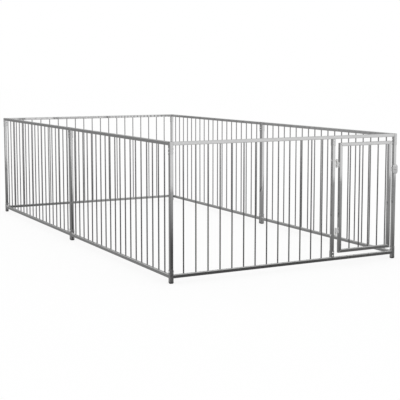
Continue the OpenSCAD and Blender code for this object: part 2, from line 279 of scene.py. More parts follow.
def solids(node: str) -> list[Solid]:
    """Splits a CAD node into its separate solids.

    Args:
        node: Name of the node.

    Returns:
        Its solids, in the order of the mesh.
    """
    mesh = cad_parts[node].data
    spots = [tuple(round(c / SAME_PLACE) for c in v.co) for v in mesh.vertices]
    above = {spot: spot for spot in spots}

    def root(spot: tuple[int, ...]) -> tuple[int, ...]:
        """Follows a spot to the first one of its solid.

        Args:
            spot: The spot.

        Returns:
            The first spot.
        """
        while above[spot] != spot:
            above[spot] = above[above[spot]]
            spot = above[spot]
        return spot

    for edge in mesh.edges:
        above[root(spots[edge.vertices[0]])] = root(spots[edge.vertices[1]])
    groups: dict[tuple[int, ...], list[Vector]] = {}
    for spot, vertex in zip(spots, mesh.vertices):
        groups.setdefault(root(spot), []).append(vertex.co.copy())
    return [Solid(tuple(points)) for points in groups.values()]


def angles(count: int) -> list[float]:
    """Returns evenly spaced angles of a full turn."""
    return [2 * math.pi * i / count for i in range(count)]


def unit(axis: int, sign: float = 1.0) -> Vector:
    """Returns the direction along one of the three axes."""
    return Vector([sign if i == axis else 0.0 for i in range(3)])


def facing(place: Vector, out: Vector, right: Vector) -> Matrix:
    """Makes a frame from its place and two of its axes.

    Args:
        place: Where the frame lies.
        out: Direction of its Z axis.
        right: Direction of its X axis.

    Returns:
        The frame.
    """
    turned = Matrix((right, out.cross(right), out)).transposed().to_4x4()
    turned.translation = place
    return turned


def round_block(at: Matrix, z: float, wide: float, deep: float, corner: float, steps: int = 6) -> Ring:
    """Draws a rectangle with round corners across the Z axis of a frame.

    Args:
        at: The frame.
        z: Place along its Z axis.
        wide: Width along X.
        deep: Depth along Y.
        corner: Radius of the corners.
        steps: Points in each corner.

    Returns:
        The points in order.
    """
    ring, arm, leg = [], wide / 2 - corner, deep / 2 - corner
    for quarter, (x, y) in enumerate(((1, 1), (-1, 1), (-1, -1), (1, -1))):
        for step in range(steps):
            turn = math.pi / 2 * (quarter + step / (steps - 1))
            ring.append(at @ Vector((x * arm + corner * math.cos(turn),
                                     y * leg + corner * math.sin(turn), z)))
    return ring


def thread(radius: float, start: float, end: float, pitch: float) -> Profile:
    """Draws the profile of a screw thread as a row of ridges.

    Args:
        radius: Outer radius of the thread.
        start: Place along the screw where it starts.
        end: Place where it ends.
        pitch: Distance between ridges.

    Returns:
        Radius and place of each point.
    """
    count = max(1, round((end - start) / pitch))
    step, root = (end - start) / count, radius - THREAD_DEPTH * pitch
    points = []
    for i in range(count):
        points += [(root, start + i * step), (radius, start + (i + 0.5) * step)]
    return points + [(root, end)]


class Shell:
    """Mesh of one piece, gathered shape by shape."""

    def __init__(self, name: str) -> None:
        """Starts an empty mesh.

        Args:
            name: Name of the piece.
        """
        self.name = name
        self.points: list[Vector] = []
        self.faces: list[tuple[int, ...]] = []

    def skin(self, rings: list[Ring], closed: bool = False) -> None:
        """Skins a row of rings with equal counts of points.

        Args:
            rings: The rings in order.
            closed: Joins the last ring to the first one; if not, both ends get a cap.
        """
        first, count = len(self.points), len(rings[0])
        for ring in rings:
            self.points.extend(ring)
        for r in range(len(rings) if closed else len(rings) - 1):
            low, high = first + r * count, first + (r + 1) % len(rings) * count
            for i in range(count):
                j = (i + 1) % count
                self.faces.append((low + i, low + j, high + j, high + i))
        if not closed:
            self.faces.append(tuple(range(first, first + count)))
            self.faces.append(tuple(range(len(self.points) - count, len(self.points))))

    def lathe(self, profile: Profile, at: Matrix, sides: int = 24) -> None:
        """Turns a profile about the Z axis of a frame into a closed solid."""
        self.skin([[at @ Vector((r * math.cos(a), r * math.sin(a), z)) for a in angles(sides)]
                   for r, z in profile])

    def turn(self, profile: Callable[[float], Profile], at: Matrix, sides: int = 24) -> None:
        """Turns a closed profile, which may change with the angle, into a ring about a frame's Z axis."""
        self.skin([[at @ Vector((r * math.cos(a), r * math.sin(a), z)) for r, z in profile(a)]
                   for a in angles(sides)], closed=True)

    def finish(self, body: Body, slot: Slot, material: bpy.types.Material,
               *replaced: str) -> bpy.types.Object:
        """Makes the piece and ties it to the frame.

        Args:
            body: Body that the piece moves with.
            slot: Its material slot; not used.
            material: Its material.
            *replaced: CAD nodes that it is drawn in place of.

        Returns:
            The piece's object.
        """
        mesh = bpy.data.meshes.new(self.name)
        mesh.from_pydata([tuple(p) for p in self.points], [], self.faces)
        work = bmesh.new()
        work.from_mesh(mesh)
        bmesh.ops.recalc_face_normals(work, faces=work.faces)
        work.to_mesh(mesh)
        work.free()
        mesh.shade_smooth()
        mesh.set_sharp_from_angle(angle=SHARP_EDGE)
        mesh.materials.append(material)
        piece = bpy.data.objects.new(self.name, mesh)
        bpy.context.scene.collection.objects.link(piece)
        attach(piece, body.value)
        for node in replaced:
            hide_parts(node)
        log.info("%s: %d faces on %s", self.name, len(self.faces), body.value)
        return piece


@dataclass(frozen=True)
class WeldBead:
    """Straight weld bead that is half sunk in the metal, with the ripples of the weld pool."""

    width: float
    height: float
    step: float = 0.7 * MM
    least_steps: int = 8
    ripple: float = 2.2 * MM
    swell: float = 0.1
    tip: float = 0.08
    bluntness: int = 8
    sides: int = 10

    def lay(self, shell: Shell, start: Vector, end: Vector, up: Vector) -> None:
        """Lays the bead along a line.

        Args:
            shell: Mesh that takes the bead.
            start: Start of the bead's middle line.
            end: End of the middle line.
            up: Direction out of the metal.
        """
        run = end - start
        side = run.normalized().cross(up)
        count = max(self.least_steps, round(run.length / self.step))
        ripples = run.length / self.ripple
        rings = []
        for i in range(count + 1):
            t = i / count
            grow = max(self.tip, math.sqrt(1 - abs(2 * t - 1) ** self.bluntness))
            grow *= 1 + self.swell * math.sin(2 * math.pi * ripples * t)
            rings.append([start + run * t + side * (math.cos(a) * self.width / 2 * grow)
                          + up * (math.sin(a) * self.height * grow) for a in angles(self.sides)])
        shell.skin(rings)


@dataclass(frozen=True)
class BarWeld:
    """Small fillet weld around the end of a bar, where it enters a rail.

    The points of its hollow face are shares of the leg, outwards and upwards. It swells in broad and fine
    waves, and the vary values turn the bar's place into where they start.
    """

    leg: float = 2.2 * MM
    sink: float = 0.2 * MM
    hollow: tuple[tuple[float, float], ...] = ((1.0, 0.1), (0.4, 0.4), (0.1, 1.0))
    broad_waves: int = 3
    broad_swell: float = 0.16
    fine_waves: int = 7
    fine_swell: float = 0.1
    vary_x: float = 37.0
    vary_y: float = 53.0
    vary: float = 10.0
    sides: int = 20

    def lay(self, shell: Shell, bar: Solid, low: float, high: float) -> None:
        """Lays the two welds of one bar.

        Args:
            shell: Mesh that takes them.
            bar: The bar.
            low: Height of the lower rail's top.
            high: Height of the upper rail's underside.
        """
        radius = bar.size.x / 2
        for z, up in ((low, 1.0), (high, -1.0)):
            # The bar's own place sets where the weld swells, so no two welds look the same.
            start = (bar.centre.x * self.vary_x + bar.centre.y * self.vary_y + up) * self.vary

            def profile(angle: float, phase: float = start) -> Profile:
                """Draws the weld's section.

                Args:
                    angle: Angle around the bar.
                    phase: Where the swells start.

                Returns:
                    Radius and height of each point.
                """
                broad = self.broad_swell * math.sin(self.broad_waves * angle + phase)
                fine = self.fine_swell * math.sin(self.fine_waves * angle + 2 * phase)
                leg = self.leg * (1 + broad + fine)
                return [(radius - self.sink, -self.sink), (radius + leg, -self.sink),
                        *[(radius + out * leg, rise * leg) for out, rise in self.hollow],
                        (radius - self.sink, leg)]

            at = facing(Vector((bar.centre.x, bar.centre.y, z)), unit(2, up), unit(0))
            shell.turn(profile, at, self.sides)


@dataclass(frozen=True)
class RoundBolt:
    """Round-headed bolt with a domed head and a threaded end."""

    shank: float = 6 * MM
    head_height: float = 3.5 * MM
    rim: float = 0.6 * MM
    pitch: float = 1 * MM
    thread_length: float = 12 * MM
    chamfer: float = 0.4 * MM
    point: float = 0.6
    edge: float = 0.2 * MM
    dome_steps: int = 8
    dome_tip: float = 0.03

    def add(self, shell: Shell, bolt: Solid) -> None:
        """Adds the bolt in the place of a CAD bolt.

        Args:
            shell: Mesh that takes the bolt.
            bolt: The CAD bolt.
        """
        size = bolt.size
        axis = max(range(3), key=lambda i: size[i])
        side = max((-1, 1), key=lambda s: bolt.reach(axis, s, self.head_height))
        head, shank = max(size[i] for i in range(3) if i != axis) / 2, self.shank / 2
        length = size[axis] - self.head_height
        seat = bolt.centre + unit(axis, side) * (size[axis] / 2 - self.head_height)
        profile = [(self.point * shank, -length),
                   *thread(shank, self.chamfer - length, self.thread_length - length, self.pitch),
                   (shank, self.thread_length + self.pitch / 2 - length), (shank, 0.0),
                   (head - self.edge, 0.0), (head, self.edge), (head, self.rim)]
        dome = self.head_height - self.rim
        for step in range(1, self.dome_steps):
            turn = math.pi / 2 * step / self.dome_steps
            profile.append((head * math.cos(turn), self.rim + dome * math.sin(turn)))
        profile.append((self.dome_tip * head, self.head_height))
        shell.lathe(profile, facing(seat, unit(axis, side), unit((axis + 1) % 3)))


@dataclass(frozen=True)
class HexNut:
    """Hexagon nut with the corners turned off at both ends."""

    bore: float
    turned: float = 0.96
    slope: float = math.tan(math.radians(30))
    chamfer: float = 0.4 * MM
    sides: int = 36

    def add(self, shell: Shell, nut: Solid) -> None:
        """Adds the nut in the place of a CAD nut.

        Args:
            shell: Mesh that takes the nut.
            nut: The CAD nut.
        """
        order = sorted(range(3), key=lambda i: nut.size[i])
        height, flats = nut.size[order[0]], nut.size[order[1]]
        hole, face, cut = self.bore / 2, flats / 2 * self.turned, self.chamfer

        def profile(angle: float) -> Profile:
            """Draws the nut's section.

            Args:
                angle: Angle around the nut.

            Returns:
                Radius and height of each point.
            """
            edge = flats / 2 / math.cos(angle % (math.pi / 3) - math.pi / 6)
            drop = (edge - face) * self.slope
            return [(hole, cut), (hole + cut, 0.0), (face, 0.0), (edge, drop), (edge, height - drop),
                    (face, height), (hole + cut, height), (hole, height - cut)]

        seat = nut.centre - unit(order[0]) * (height / 2)
        shell.turn(profile, facing(seat, unit(order[0]), unit(order[2])), self.sides)


@dataclass
class SubAssembly:
    """Group of pieces that are made and finished together."""

    finishes: FinishSet

    def nodes(self) -> list[str]:
        """Returns the CAD nodes of the group."""
        raise NotImplementedError

    def build(self) -> None:
        """Makes the group's own meshes."""
        raise NotImplementedError

    def dress(self) -> None:
        """Gives each CAD node of the group the finish of its slot."""
        for name in self.nodes():
            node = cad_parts[name]
            slot = Slot(node.data.materials[0].name)
            node.material_slots[0].material = self.finishes.by_slot[slot]
            log.info("%s: %s", name, slot.value)


@dataclass
class Panels(SubAssembly):
    """Six barred panels: two rails each, and bars welded into them."""

    weld: BarWeld = BarWeld()

    def nodes(self) -> list[str]:
        """Returns the rails and bars."""
        return [f"{panel}_{part}" for panel in PANELS for part in ("top_rail", "bottom_rail", "bars")]

    def build(self) -> None:
        """Lays the welds of each panel's bars."""
        for panel in PANELS:
            low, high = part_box(f"{panel}_bottom_rail")[1].z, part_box(f"{panel}_top_rail")[0].z
            shell = Shell(f"{panel}_bar_welds")
            for bar in solids(f"{panel}_bars"):
                self.weld.lay(shell, bar, low, high)
            shell.finish(Body.RUN, Slot.TUBE, self.finishes.weld)


@dataclass
class Corners(SubAssembly):
    """Four corner posts with their connectors, and the moulded caps that all posts stand on."""

    soft: float = 0.8 * MM
    rim_height: float = 3 * MM
    plug_wall: float = 1.6 * MM
    corner: float = 2.5 * MM

    def nodes(self) -> list[str]:
        """Returns the posts, connectors and foot caps."""
        return [f"{post}_{part}" for post in CORNER_POSTS for part in POST_PARTS] + ["foot_caps"]

    def build(self) -> None:
        """Moulds the foot caps with soft edges."""
        low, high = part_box("front_left_post")
        tube, base = high.x - low.x, low.z
        shell = Shell("foot_caps_moulded")
        for foot in solids("foot_caps"):
            rim, top = foot.size.x, foot.high.z
            plug, soft, near = tube - 2 * self.plug_wall, self.soft, ROUND_SHARE * self.soft
            step = base - self.rim_height
            deeper = MIDDLE_DEPTH - tube if abs(foot.centre.y) < tube else 0.0
            at = Matrix.Translation((foot.centre.x, foot.centre.y, 0))
            steps = [(0.0, tube - 2 * soft), (near, tube - 2 * near), (soft, tube), (step - soft, tube),
                     (step, tube + soft), (step, rim - soft), (step + soft / 2, rim), (base - soft / 2, rim),
                     (base, rim - soft), (base, plug), (top - soft, plug), (top, plug - 2 * soft)]
            shell.skin([round_block(at, z, size, size + deeper, self.corner) for z, size in steps])
        shell.finish(Body.RUN, Slot.PLASTIC, self.finishes.by_slot[Slot.PLASTIC], "foot_caps")


@dataclass
class MiddlePosts(SubAssembly):
    """Two middle posts of flat tube, with their connectors.

    Each connector has a sleeve around the post, and a stub in the rail on either side.
    """

    tube_wall: float = 1.5 * MM
    sleeve_wall: float = 2 * MM
    fit: float = 0.1 * MM
    corner: float = 2.5 * MM
    soft: float = 0.5 * MM

    def nodes(self) -> list[str]:
        """Returns the middle posts and their connectors."""
        return [f"{post}_{part}" for post in MIDDLE_POSTS for part in POST_PARTS]

    def tube(self, shell: Shell, at: Matrix, ends: tuple[float, float], wide: float, deep: float,
             wall: float) -> None:
        """Adds a straight tube along the Z axis of a frame.

        Args:
            shell: Mesh that takes the tube.
            at: The frame.
            ends: Where it starts and ends.
            wide: Its width along X.
            deep: Its depth along Y.
            wall: Its wall.
        """
        outside = [round_block(at, z, wide, deep, self.corner) for z in ends]
        inside = [round_block(at, z, wide - 2 * wall, deep - 2 * wall, self.corner - wall)
                  for z in reversed(ends)]
        shell.skin(outside + inside, closed=True)

    def connector(self, post: str, part: str, middle: Vector, more: float) -> None:
        """Makes one connector around a flat tube.

        Args:
            post: Name of the post.
            part: Which of its connectors.
            middle: Middle of the post.
            more: How much deeper the flat tube is than a square one.
        """
        shell = Shell(f"{post}_{part}_flat")
        low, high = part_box(f"{post}_{part}")
        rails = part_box(f"{post.split('_')[0]}_front_{part.replace('connector', 'rail')}")
        wide, wall, soft = high.x - low.x, self.sleeve_wall, self.soft
        at, level = Matrix.Translation((middle.x, middle.y, 0)), (rails[0].z + rails[1].z) / 2
        if part == "top_connector":
            # The sleeve's top is closed by a plate with slightly ground edges.
            inner = self.corner - wall
            steps = [(high.z - wall, 2 * wall, inner), (low.z, 2 * wall, inner), (low.z, 0.0, self.corner),
                     (high.z - soft, 0.0, self.corner), (high.z, 2 * soft, self.corner - soft)]
            shell.skin([round_block(at, z, wide - cut, wide + more - cut, corner)
                        for z, cut, corner in steps])
        else:
            self.tube(shell, at, (low.z, high.z), wide, wide + more, wall)
        stub = rails[1].x - rails[0].x - 2 * (self.tube_wall + self.fit)
        for side, end in ((-1, low.y), (1, high.y)):
            way = facing(Vector((middle.x, middle.y, level)), unit(1, side), unit(0))
            self.tube(shell, way, ((wide + more - wall) / 2, abs(end - middle.y)), stub, stub, wall)
        shell.finish(Body.RUN, Slot.CONNECTOR, self.finishes.by_slot[Slot.CONNECTOR], f"{post}_{part}")

    def build(self) -> None:
        """Makes the posts and their connectors."""
        for post in MIDDLE_POSTS:
            low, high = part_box(f"{post}_post")
            middle, wide = (low + high) / 2, high.x - low.x
            shell = Shell(f"{post}_post_flat")
            at = Matrix.Translation((middle.x, middle.y, 0))
            self.tube(shell, at, (low.z, high.z), wide, MIDDLE_DEPTH, self.tube_wall)
            shell.finish(Body.RUN, Slot.TUBE, self.finishes.by_slot[Slot.TUBE], f"{post}_post")
            for part in CONNECTORS:
                self.connector(post, part, middle, MIDDLE_DEPTH - wide)


@dataclass
class HingePost(SubAssembly):
    """Post at the hinge side of the door, in two sockets that are welded to the rails."""

    bead: WeldBead = WeldBead(4.5 * MM, 2 * MM)
    inset: float = 2 * MM

    def nodes(self) -> list[str]:
        """Returns the hinge post and its sockets."""
        return ["hinge_post", "hinge_post_top_socket", "hinge_post_bottom_socket"]

    def build(self) -> None:
        """Lays a weld along both sides of each socket."""
        shell = Shell("socket_welds")
        for socket, rail, end in (("hinge_post_bottom_socket", "front_bottom_rail", 1),
                                  ("hinge_post_top_socket", "front_top_rail", 0)):
            low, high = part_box(socket)
            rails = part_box(rail)
            z, up = rails[end].z, Vector((0, 0, 1 if end else -1))
            for x, out in ((low.x, -1), (high.x, 1)):
                lean = (up + Vector((out, 0, 0))).normalized()
                ends = [Vector((x, y, z)) for y in (rails[0].y + self.inset, rails[1].y - self.inset)]
                self.bead.lay(shell, *ends, lean)
        shell.finish(Body.RUN, Slot.TUBE, self.finishes.weld)


@dataclass
class Fasteners(SubAssembly):
    """Bolts and nuts that hold the connectors, the hinges and the latch."""

    bolt: RoundBolt = RoundBolt()
    nut: HexNut = HexNut(bore=5.8 * MM)
    big_nut: HexNut = HexNut(bore=7.8 * MM)

    def nodes(self) -> list[str]:
        """Returns the bolts and nuts."""
        return ["connector_bolts", "connector_nuts", "hinge_and_latch_nuts"]

    def build(self) -> None:
        """Makes domed bolts and turned nuts in the places of the plain ones."""
        zinc = self.finishes.by_slot[Slot.HARDWARE]
        for name, node, kind in (("domed_bolts", "connector_bolts", self.bolt),
                                 ("turned_nuts", "connector_nuts", self.nut),
                                 ("turned_big_nuts", "hinge_and_latch_nuts", self.big_nut)):
            shell = Shell(name)
            for solid in solids(node):
                kind.add(shell, solid)
            shell.finish(Body.RUN, Slot.HARDWARE, zinc, node)


@dataclass
class Hinges(SubAssembly):
    """Two eye-bolt hinges: forged eyes on the post, and barrels welded to the door.

    The points of the flare between shank and eye are given out from the shank and in from the eye's rim.
    """

    shank: float = 8 * MM
    bore: float = 8.1 * MM
    soft: float = 1.6 * MM
    pitch: float = 1.25 * MM
    chamfer: float = 0.5 * MM
    point: float = 0.7
    neck: float = 3 * MM
    runout: float = 0.6 * MM
    flare: tuple[tuple[float, float], ...] = ((0.6 * MM, 0.0), (1.4 * MM, 0.8 * MM), (1.4 * MM, 1.6 * MM))
    sides: int = 36
    bead: WeldBead = WeldBead(4 * MM, 1.6 * MM)

    def nodes(self) -> list[str]:
        """Returns the eyes, pins, bushes and barrels."""
        return ["upper_hinge_eye", "lower_hinge_eye", "hinge_pins", "hinge_bushes", "upper_hinge_barrel",
                "lower_hinge_barrel"]

    def eye(self, name: str) -> None:
        """Forges one eye with soft edges, on a threaded shank.

        Args:
            name: CAD node of the eye.
        """
        low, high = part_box(name)
        outer, half, hole = (high.y - low.y) / 2, (high.z - low.z) / 2, self.bore / 2
        soft, near = self.soft, ROUND_SHARE * self.soft
        middle = Vector((high.x - outer, (low.y + high.y) / 2, (low.z + high.z) / 2))
        section = [(hole, half - soft / 2), (hole + soft / 2, half), (outer - soft, half),
                   (outer - near, half - near), (outer, half - soft)]
        section = section + [(r, -z) for r, z in reversed(section)]
        shell = Shell(f"{name}_forged")
        shell.turn(lambda angle: section, facing(middle, unit(2), unit(0)), self.sides)
        length, neck = middle.x - low.x, outer + self.neck
        radius = self.shank / 2
        profile = [(self.point * radius, -length),
                   *thread(radius, self.chamfer - length, -neck, self.pitch), (radius, self.runout - neck),
                   *[(radius + out, along - outer) for out, along in self.flare]]
        shell.lathe(profile, facing(middle, unit(0), unit(1)))
        shell.finish(Body.RUN, Slot.HARDWARE, self.finishes.by_slot[Slot.HARDWARE], name)

    def build(self) -> None:
        """Makes the eyes, and lays the welds of the barrels' leaves."""
        self.eye("upper_hinge_eye")
        self.eye("lower_hinge_eye")
        shell = Shell("hinge_leaf_welds")
        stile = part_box("door_hinge_stile")[0].x
        for name in ("upper_hinge_barrel", "lower_hinge_barrel"):
            leaf = [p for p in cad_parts[name].data.vertices if abs(p.co.x - stile) < SAME_PLACE]
            sides = (min(p.co.y for p in leaf), max(p.co.y for p in leaf))
            ends = (min(p.co.z for p in leaf), max(p.co.z for p in leaf))
            for y, out in zip(sides, (-1, 1)):
                self.bead.lay(shell, Vector((stile, y, ends[0])), Vector((stile, y, ends[1])),
                              Vector((-1, out, 0)).normalized())
        shell.finish(Body.DOOR, Slot.TUBE, self.finishes.weld)


@dataclass
class Door(SubAssembly):
    """Mitred and welded door frame with four bars and a catch."""

    weld: BarWeld = BarWeld()
    bead: WeldBead = WeldBead(3.6 * MM, 0.7 * MM)
    bead_inset: float = 2.5 * MM
    catch_bead: WeldBead = WeldBead(3.6 * MM, 1.4 * MM)
    catch_insets: tuple[float, float] = (3 * MM, 1 * MM)

    def nodes(self) -> list[str]:
        """Returns the stiles, rails, bars and catch."""
        return ["door_hinge_stile", "door_latch_stile", "door_top_rail", "door_bottom_rail", "door_bars",
                "door_catch"]

    def mitres(self, shell: Shell) -> None:
        """Lays the weld along each mitre, on the front and the back.

        Args:
            shell: Mesh that takes the beads.
        """
        left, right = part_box("door_hinge_stile"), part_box("door_latch_stile")
        tube, inset = left[1].x - left[0].x, self.bead_inset
        for x, across in ((left[0].x, 1), (right[1].x, -1)):
            for z, up in ((left[0].z, 1), (left[1].z, -1)):
                for y, out in ((left[0].y, -1), (left[1].y, 1)):
                    ends = [Vector((x + across * d, y, z + up * d)) for d in (inset, tube - inset / 2)]
                    self.bead.lay(shell, *ends, Vector((0, out, 0)))

    def build(self) -> None:
        """Lays the door's welds."""
        shell = Shell("door_welds")
        low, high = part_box("door_bottom_rail")[1].z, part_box("door_top_rail")[0].z
        for bar in solids("door_bars"):
            self.weld.lay(shell, bar, low, high)
        self.mitres(shell)
        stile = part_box("door_latch_stile")
        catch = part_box("door_catch")
        front, back = self.catch_insets
        for z, up in ((catch[0].z, -1), (catch[1].z, 1)):
            ends = [Vector((stile[1].x, y, z)) for y in (stile[0].y + front, catch[1].y - back)]
            self.catch_bead.lay(shell, *ends, Vector((1, 0, up)).normalized())
        shell.finish(Body.DOOR, Slot.TUBE, self.finishes.weld)


@dataclass
class Latch(SubAssembly):
    """Turning plate on a pivot bolt, with the spacer and the stop behind it."""

    bolt: RoundBolt = RoundBolt(shank=8 * MM, head_height=5 * MM, rim=1 * MM, pitch=1.25 * MM,
                                thread_length=18 * MM)
    bore: float = 8.1 * MM
    soft: float = 1.2 * MM
    margin: float = 5 * MM
    slope: float = 5 * MM
    boss: float = 2 * MM
    shoulder: tuple[float, ...] = (0.15, 0.3, 0.5, 0.7, 0.85, 1.0)
    chamfer: float = 0.4 * MM
    sides: int = 64

    def nodes(self) -> list[str]:
        """Returns the plate, its bolt, the spacer and the stop."""
        return ["latch_plate", "latch_bolt", "latch_spacer", "door_stop"]

    def turns(self) -> list[float]:
        """Returns the angles of the plate's points, half a step off the axes."""
        return [angle + math.pi / self.sides for angle in angles(self.sides)]

    def outline(self, inset: float, depth: float) -> Ring:
        """Draws the plate's oval outline.

        Args:
            inset: Distance inside the plate's edge.
            depth: Distance in front of the plate's back.

        Returns:
            The points in order.
        """
        low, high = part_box("latch_plate")
        middle = (low + high) / 2
        wide = (high.x - low.x) / 2
        straight = (high.z - low.z) / 2 - wide
        ring = []
        for angle in self.turns():
            lift = math.copysign(straight, math.sin(angle))
            ring.append(Vector((middle.x + (wide - inset) * math.cos(angle), high.y - depth,
                                middle.z + lift + (wide - inset) * math.sin(angle))))
        return ring

    def hole(self, radius: float, depth: float) -> Ring:
        """Draws a circle around the pivot, with as many points as the outline.

        Args:
            radius: Radius of the circle.
            depth: Distance in front of the plate's back.

        Returns:
            The points in order.
        """
        low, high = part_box("latch_bolt")
        middle, back = (low + high) / 2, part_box("latch_plate")[1].y
        return [Vector((middle.x + radius * math.cos(angle), back - depth,
                        middle.z + radius * math.sin(angle))) for angle in self.turns()]

    def build(self) -> None:
        """Presses the plate with a raised middle, and makes the pivot bolt."""
        low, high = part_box("latch_plate")
        full = high.y - low.y
        flat, soft, near = full - self.boss, self.soft, ROUND_SHARE * self.soft
        edge = ((soft, 0.0), (near, near), (0.0, soft), (0.0, flat - soft), (near, flat - near), (soft, flat),
                (self.margin, flat))
        rings = [self.outline(inset, depth) for inset, depth in edge]
        for share in self.shoulder:
            # A half wave gives the soft shoulder that a press tool leaves.
            rise = (1 - math.cos(math.pi * share)) / 2
            rings.append(self.outline(self.margin + self.slope * share, flat + self.boss * rise))
        bore, cut = self.bore / 2, self.chamfer
        rings += [self.hole(radius, depth) for radius, depth in
                  ((bore + cut, full), (bore, full - cut), (bore, cut), (bore + cut, 0.0))]
        plate = Shell("latch_plate_pressed")
        plate.skin(rings, closed=True)
        plate.finish(Body.LATCH, Slot.LATCH, self.finishes.by_slot[Slot.LATCH], "latch_plate")
        pivot = Shell("latch_bolt_domed")
        self.bolt.add(pivot, solids("latch_bolt")[0])
        pivot.finish(Body.RUN, Slot.HARDWARE, self.finishes.by_slot[Slot.LATCH], "latch_bolt")


@dataclass
class Studio:
    """White studio: a pale floor and soft light all round.

    Bare metal shows what is around it. Here that is a bright wall in front of the run, a grey floor below it
    that darkens towards the run and is pale again right beside it, and a grey flag at the run's left and
    back, paler at the left. The floor's shade lies higher towards both ends of the wall, and the foot of the
    wall does so towards its left end. Angles are in degrees, and tones are shares of white.
    """

    # Floor that the camera sees.
    floor_half: float = 90.0
    floor_tone: str = "#7B7B7B"
    floor_glow: float = 0.8
    # Wall and floor that the metal mirrors in front of the run.
    wall_foot: float = -7.75
    floor_edge: float = -7.95
    side_wall: float = 0.75
    floor_pale: float = 0.42
    floor_far: float = -6.1
    floor_dark: float = 0.1
    floor_near: float = -8.4
    floor_lean: float = 0.08
    left_end: float = 16.0
    shade_start: float = 27.0
    shade_lift: float = 1.8
    right_start: float = 35.0
    right_end: float = 40.0
    right_lift: float = 0.8
    foot_start: float = 21.0
    foot_lift: float = 2.7
    beside_tone: float = 0.5
    beside_far: float = -14.0
    beside_near: float = -17.0
    # Flag that the metal mirrors at the left and the back.
    flag_tone: float = 0.3
    flag_pale: float = 0.45
    pale_right: float = -24.0
    pale_left: float = -36.0
    pale_low: float = -9.8
    pale_high: float = -8.0
    flag_left: float = -125.0
    flag_right: float = 55.0
    flag_top: float = 8.0
    flag_soft: float = 10.0

    def floor(self) -> None:
        """Lays the pale floor, which keeps the run's shadow and which the metal doesn't mirror."""
        material = blank_material("studio_floor")
        tree = material.node_tree
        path = add_node(tree, "ShaderNodeLightPath")
        level = add_node(tree, "ShaderNodeMath", {0: path.outputs["Is Camera Ray"], 1: self.floor_glow},
                         operation="MULTIPLY")
        matt = add_node(tree, "ShaderNodeBsdfDiffuse", {"Color": linear(self.floor_tone)})
        glow = add_node(tree, "ShaderNodeEmission", {"Color": WHITE, "Strength": level.outputs[0]})
        both = add_node(tree, "ShaderNodeAddShader", {0: matt.outputs["BSDF"], 1: glow.outputs["Emission"]})
        add_node(tree, "ShaderNodeOutputMaterial", {"Surface": both.outputs["Shader"]})
        material.cycles.emission_sampling = "NONE"
        half = self.floor_half
        mesh = bpy.data.meshes.new("studio_floor")
        corners = [(-half, -half, 0), (half, -half, 0), (half, half, 0), (-half, half, 0)]
        mesh.from_pydata(corners, [], [(0, 1, 2, 3)])
        mesh.materials.append(material)
        floor = bpy.data.objects.new("studio_floor", mesh)
        bpy.context.scene.collection.objects.link(floor)
        floor.visible_glossy = False

    def front(self, tree: bpy.types.NodeTree, way: bpy.types.Node,
              rise: bpy.types.NodeSocket) -> bpy.types.NodeSocket:
        """Grades what metal mirrors in front of the run, from the bright wall down to the floor.

        Args:
            tree: The world's node tree.
            way: Node that gives the direction's X, Y and Z.
            rise: Angle above the horizon.

        Returns:
            The tone in that direction.
        """
        ahead = add_node(tree, "ShaderNodeMath", {0: way.outputs["Y"], 1: -1.0}, operation="MULTIPLY")
        aside = add_node(tree, "ShaderNodeMath", {0: way.outputs["X"], 1: ahead.outputs[0]},
                         operation="ARCTAN2")
        left, right, base = [
            add_node(tree, "ShaderNodeMapRange",
                     {"Value": aside.outputs[0], "From Min": math.radians(start),
                      "From Max": math.radians(end), "To Max": math.radians(lift)})
            for start, end, lift in ((self.shade_start, self.left_end, self.shade_lift),
                                     (self.right_start, self.right_end, self.right_lift),
                                     (self.foot_start, self.left_end, self.foot_lift))]
        shade = rise
        for lift in (left, right):
            shade = add_node(tree, "ShaderNodeMath", {0: shade, 1: lift.outputs["Result"]},
                             operation="SUBTRACT").outputs[0]
        lean = add_node(tree, "ShaderNodeMath", {0: aside.outputs[0], 1: self.floor_lean, 2: shade},
                        operation="MULTIPLY_ADD")
        floor = add_node(tree, "ShaderNodeMapRange",
                         {"Value": lean.outputs[0], "From Min": math.radians(self.floor_near),
                          "From Max": math.radians(self.floor_far), "To Min": self.floor_dark,
                          "To Max": self.floor_pale})
        beside = add_node(tree, "ShaderNodeMapRange",
                          {"Value": rise, "From Min": math.radians(self.beside_near),
                           "From Max": math.radians(self.beside_far), "To Min": self.beside_tone,
                           "To Max": floor.outputs["Result"]})
        deep = add_node(tree, "ShaderNodeMath", {0: way.outputs["Y"]}, operation="ABSOLUTE")
        wide = add_node(tree, "ShaderNodeMath", {0: way.outputs["X"], 1: self.side_wall},
                        operation="MULTIPLY")
        away = add_node(tree, "ShaderNodeMath", {0: wide.outputs[0], 1: deep.outputs[0]}, operation="MAXIMUM")
        slope = add_node(tree, "ShaderNodeMath", {0: way.outputs["Z"], 1: away.outputs[0]},
                         operation="ARCTAN2")
        foot = add_node(tree, "ShaderNodeMath", {0: slope.outputs[0], 1: base.outputs["Result"]},
                        operation="SUBTRACT")
        wall = add_node(tree, "ShaderNodeMapRange",
                        {"Value": foot.outputs[0], "From Min": math.radians(self.floor_edge),
                         "From Max": math.radians(self.wall_foot), "To Min": beside.outputs["Result"]})
        return wall.outputs["Result"]

